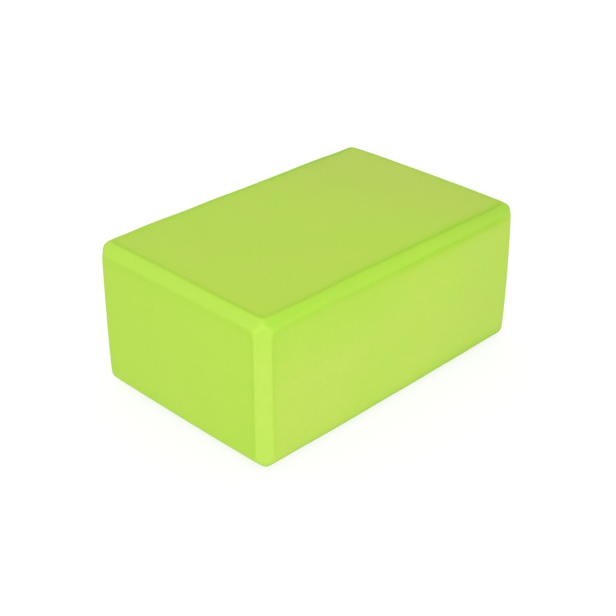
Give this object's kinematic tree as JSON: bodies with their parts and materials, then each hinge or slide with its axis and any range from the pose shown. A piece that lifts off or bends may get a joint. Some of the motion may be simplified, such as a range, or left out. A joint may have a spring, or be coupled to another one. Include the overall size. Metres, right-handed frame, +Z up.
{
  "type": "yoga block",
  "caption": "Firm foam yoga block, a solid brick with bevelled edges and softened corners, used flat, on its long edge or on end as a hand or seat support.",
  "frame": {"origin": "middle of the footprint, on the surface that the block lies on", "axes": "+X along the length, +Y across the width, +Z up through the height, with the block lying on its largest face"},
  "size_m": [0.23, 0.15, 0.1],
  "materials": {
    "lime_foam": "matte closed-cell EVA foam, lime green right through, with a fine cell grain"
  },
  "bodies": {
    "root": {"foam_block": "lime_foam"}
  },
  "joints": []
}
